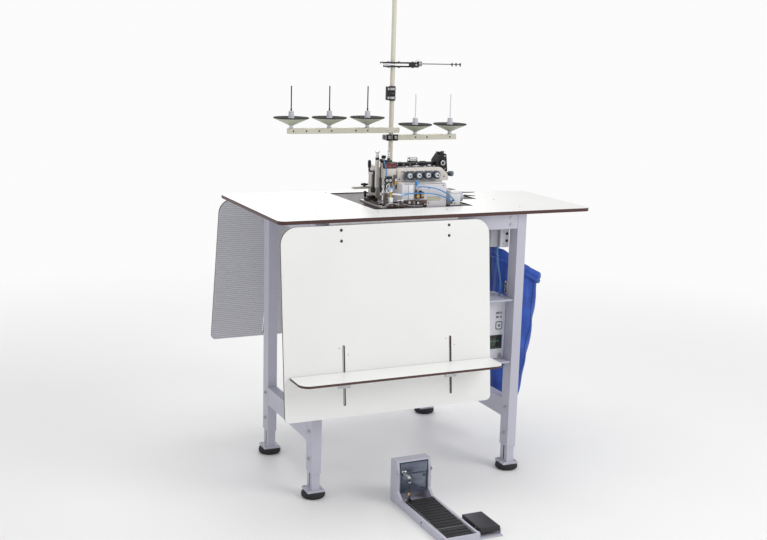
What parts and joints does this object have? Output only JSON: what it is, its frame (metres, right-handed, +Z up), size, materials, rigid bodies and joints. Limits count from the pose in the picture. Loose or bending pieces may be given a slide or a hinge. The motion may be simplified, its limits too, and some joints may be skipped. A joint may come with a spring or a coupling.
{
  "type": "overlock sewing workstation",
  "caption": "Standing industrial overlock workstation: table on telescopic legs, head in a sunk plate, thread stand, hinged aprons, waste bag and foot pedal.",
  "frame": {"origin": "on the floor, under the middle of the whole footprint", "axes": "+Z up, +X to the operator's right, +Y away from the operator"},
  "size_m": [1.2, 1.269, 1.79],
  "materials": {
    "white_laminate": "satin white compact laminate with a dark brown core edge",
    "ribbed_laminate": "light grey laminate with a fine ribbed face",
    "lavender_paint": "lavender-grey powder coat",
    "black_rubber": "matte black rubber",
    "sunk_gloss": "glossy dark brown-black enamel",
    "zinc_steel": "zinc-plated steel",
    "cream_paint": "cream enamel",
    "spool_black": "black mat on a cream dish",
    "black_metal": "black oxide",
    "head_paint": "warm light grey enamel on cast metal",
    "dial_plastic": "blue-grey moulded plastic",
    "chrome": "polished chrome",
    "white_box": "white powder coat",
    "blue_fabric": "blue woven polyester with a lavender lining",
    "blue_hose": "translucent blue polyurethane tube",
    "black_cable": "black PVC sheath"
  },
  "bodies": {
    "station": {"table_top": "white_laminate", "left_frame": "lavender_paint", "right_frame": "lavender_paint", "front_rail": "lavender_paint", "pedal_base": "lavender_paint", "sunk_plate": "sunk_gloss", "front_hinge": "zinc_steel", "rear_hinge": "zinc_steel", "bag_hoop": "zinc_steel", "stand_pole": "cream_paint", "edge_guide": "cream_paint", "pole_coupling": "black_metal", "puller_housing": "black_metal", "head_body": "head_paint", "dial_cover": "head_paint", "looper_cover": "head_paint", "switch_box": "dial_plastic", "motor_housing": "white_box", "control_box": "white_box", "valve_box": "white_box", "waste_bag": "blue_fabric", "air_hose_upper": "blue_hose", "air_hose_lower": "blue_hose", "control_cable": "black_cable"},
    "inner_leg_front_left": {"inner_leg_front_left": "lavender_paint", "foot_front_left": "black_rubber"},
    "inner_leg_rear_left": {"inner_leg_rear_left": "lavender_paint", "foot_rear_left": "black_rubber"},
    "inner_leg_front_right": {"inner_leg_front_right": "lavender_paint", "foot_front_right": "black_rubber"},
    "inner_leg_rear_right": {"inner_leg_rear_right": "lavender_paint", "foot_rear_right": "black_rubber"},
    "front_apron": {"front_panel": "white_laminate"},
    "rear_apron": {"rear_panel": "ribbed_laminate"},
    "shelf": {"front_shelf": "white_laminate", "shelf_bracket_left": "zinc_steel", "shelf_bracket_right": "zinc_steel"},
    "left_arm": {"left_spool_arm": "cream_paint", "spool_holder_1": "spool_black", "spool_holder_2": "spool_black", "spool_holder_3": "spool_black"},
    "right_arm": {"right_spool_arm": "cream_paint", "spool_holder_4": "spool_black", "spool_holder_5": "spool_black"},
    "guide_arm": {"guide_clamp": "black_metal", "thread_guide": "cream_paint"},
    "dial_1": {"tension_dial_1": "dial_plastic"},
    "dial_2": {"tension_dial_2": "dial_plastic"},
    "dial_3": {"tension_dial_3": "dial_plastic"},
    "dial_4": {"tension_dial_4": "dial_plastic"},
    "needle_drive": {"needle_bar": "chrome"},
    "presser": {"presser_foot": "chrome"},
    "lifter": {"lifter_lever": "black_metal"},
    "puller": {"puller_shaft": "black_metal"},
    "wheel": {"handwheel": "lavender_paint"},
    "star_knob": {"guide_knob": "black_metal"},
    "treadle": {"treadle": "black_rubber", "treadle_link": "zinc_steel"},
    "switch_arm": {"switch_arm": "zinc_steel"},
    "small_pedal": {"small_pedal": "black_rubber"}
  },
  "joints": [
    {"name": "leg_front_left_extend", "type": "slide", "parent": "station", "child": "inner_leg_front_left", "axis": [0, 0, -1], "range_m": [0, 0.15]},
    {"name": "leg_rear_left_extend", "type": "slide", "parent": "station", "child": "inner_leg_rear_left", "axis": [0, 0, -1], "range_m": [0, 0.15]},
    {"name": "leg_front_right_extend", "type": "slide", "parent": "station", "child": "inner_leg_front_right", "axis": [0, 0, -1], "range_m": [0, 0.15]},
    {"name": "leg_rear_right_extend", "type": "slide", "parent": "station", "child": "inner_leg_rear_right", "axis": [0, 0, -1], "range_m": [0, 0.15]},
    {"name": "front_apron_hinge", "type": "hinge", "parent": "station", "child": "front_apron", "pos_m": [0, -0.1655, 0.964], "axis": [-1, 0, 0], "range_deg": [0, 80]},
    {"name": "rear_apron_hinge", "type": "hinge", "parent": "station", "child": "rear_apron", "pos_m": [0, 0.5085, 0.964], "axis": [1, 0, 0], "range_deg": [0, 75]},
    {"name": "shelf_height", "type": "slide", "parent": "front_apron", "child": "shelf", "axis": [0, 0.1011, 0.9949], "range_m": [-0.08, 0.115]},
    {"name": "left_arm_swivel", "type": "hinge", "parent": "station", "child": "left_arm", "pos_m": [0.08, 0.4685, 1.2185], "axis": [0, 0, 1], "range_deg": [-45, 45]},
    {"name": "right_arm_swivel", "type": "hinge", "parent": "station", "child": "right_arm", "pos_m": [0.08, 0.4685, 1.19], "axis": [0, 0, 1], "range_deg": [-45, 45]},
    {"name": "guide_arm_swivel", "type": "hinge", "parent": "station", "child": "guide_arm", "pos_m": [0.08, 0.4685, 1.47], "axis": [0, 0, 1], "range_deg": [-90, 90]},
    {"name": "dial_1_turn", "type": "hinge", "parent": "station", "child": "dial_1", "pos_m": [-0.036, 0.0732, 1.0925], "axis": [0, -1, 0], "range_deg": [-170, 170]},
    {"name": "dial_2_turn", "type": "hinge", "parent": "station", "child": "dial_2", "pos_m": [0.0005, 0.0732, 1.0925], "axis": [0, -1, 0], "range_deg": [-170, 170]},
    {"name": "dial_3_turn", "type": "hinge", "parent": "station", "child": "dial_3", "pos_m": [0.037, 0.0732, 1.0925], "axis": [0, -1, 0], "range_deg": [-170, 170]},
    {"name": "dial_4_turn", "type": "hinge", "parent": "station", "child": "dial_4", "pos_m": [0.0735, 0.0732, 1.0925], "axis": [0, -1, 0], "range_deg": [-170, 170]},
    {"name": "needle_bar_slide", "type": "slide", "parent": "station", "child": "needle_drive", "axis": [0, 0, -1], "range_m": [0, 0.024]},
    {"name": "lifter_lever_turn", "type": "hinge", "parent": "station", "child": "lifter", "pos_m": [-0.1345, 0.1415, 1.094], "axis": [1, 0, 0], "range_deg": [0, 26]},
    {"name": "presser_foot_lift", "type": "slide", "parent": "station", "child": "presser", "axis": [0, 0, 1], "range_m": [0, 0.007], "stiffness_N_per_m": 400, "springref_m": -0.015},
    {"name": "handwheel_turn", "type": "hinge", "parent": "station", "child": "wheel", "pos_m": [0.1633, 0.0735, 1.0075], "axis": [1, 0, 0], "continuous": true},
    {"name": "puller_shaft_turn", "type": "hinge", "parent": "station", "child": "puller", "pos_m": [0.1195, 0.1715, 1.1215], "axis": [1, 0, 0], "continuous": true},
    {"name": "star_knob_turn", "type": "hinge", "parent": "station", "child": "star_knob", "pos_m": [-0.134, 0.2265, 1.0353], "axis": [0, 0, 1], "range_deg": [-180, 180]},
    {"name": "treadle_press", "type": "hinge", "parent": "station", "child": "treadle", "pos_m": [-0.142, -0.6205, 0.017], "axis": [-1, 0, 0], "range_deg": [0, 3], "stiffness_Nm_per_rad": 12, "springref_deg": -8.59},
    {"name": "switch_arm_turn", "type": "hinge", "parent": "station", "child": "switch_arm", "pos_m": [-0.187, -0.2775, 0.117], "axis": [1, 0, 0], "range_deg": [0, 16]},
    {"name": "small_pedal_press", "type": "hinge", "parent": "station", "child": "small_pedal", "pos_m": [-0.0315, -0.6105, 0.0165], "axis": [-1, 0, 0], "range_deg": [0, 3.4], "stiffness_Nm_per_rad": 6, "springref_deg": -6.88}
  ],
  "couplings": [
    {"joint": "lifter_lever_turn", "follows": "presser_foot_lift", "rad_per_m": 62.5},
    {"joint": "switch_arm_turn", "follows": "treadle_press", "ratio": 5.25}
  ]
}
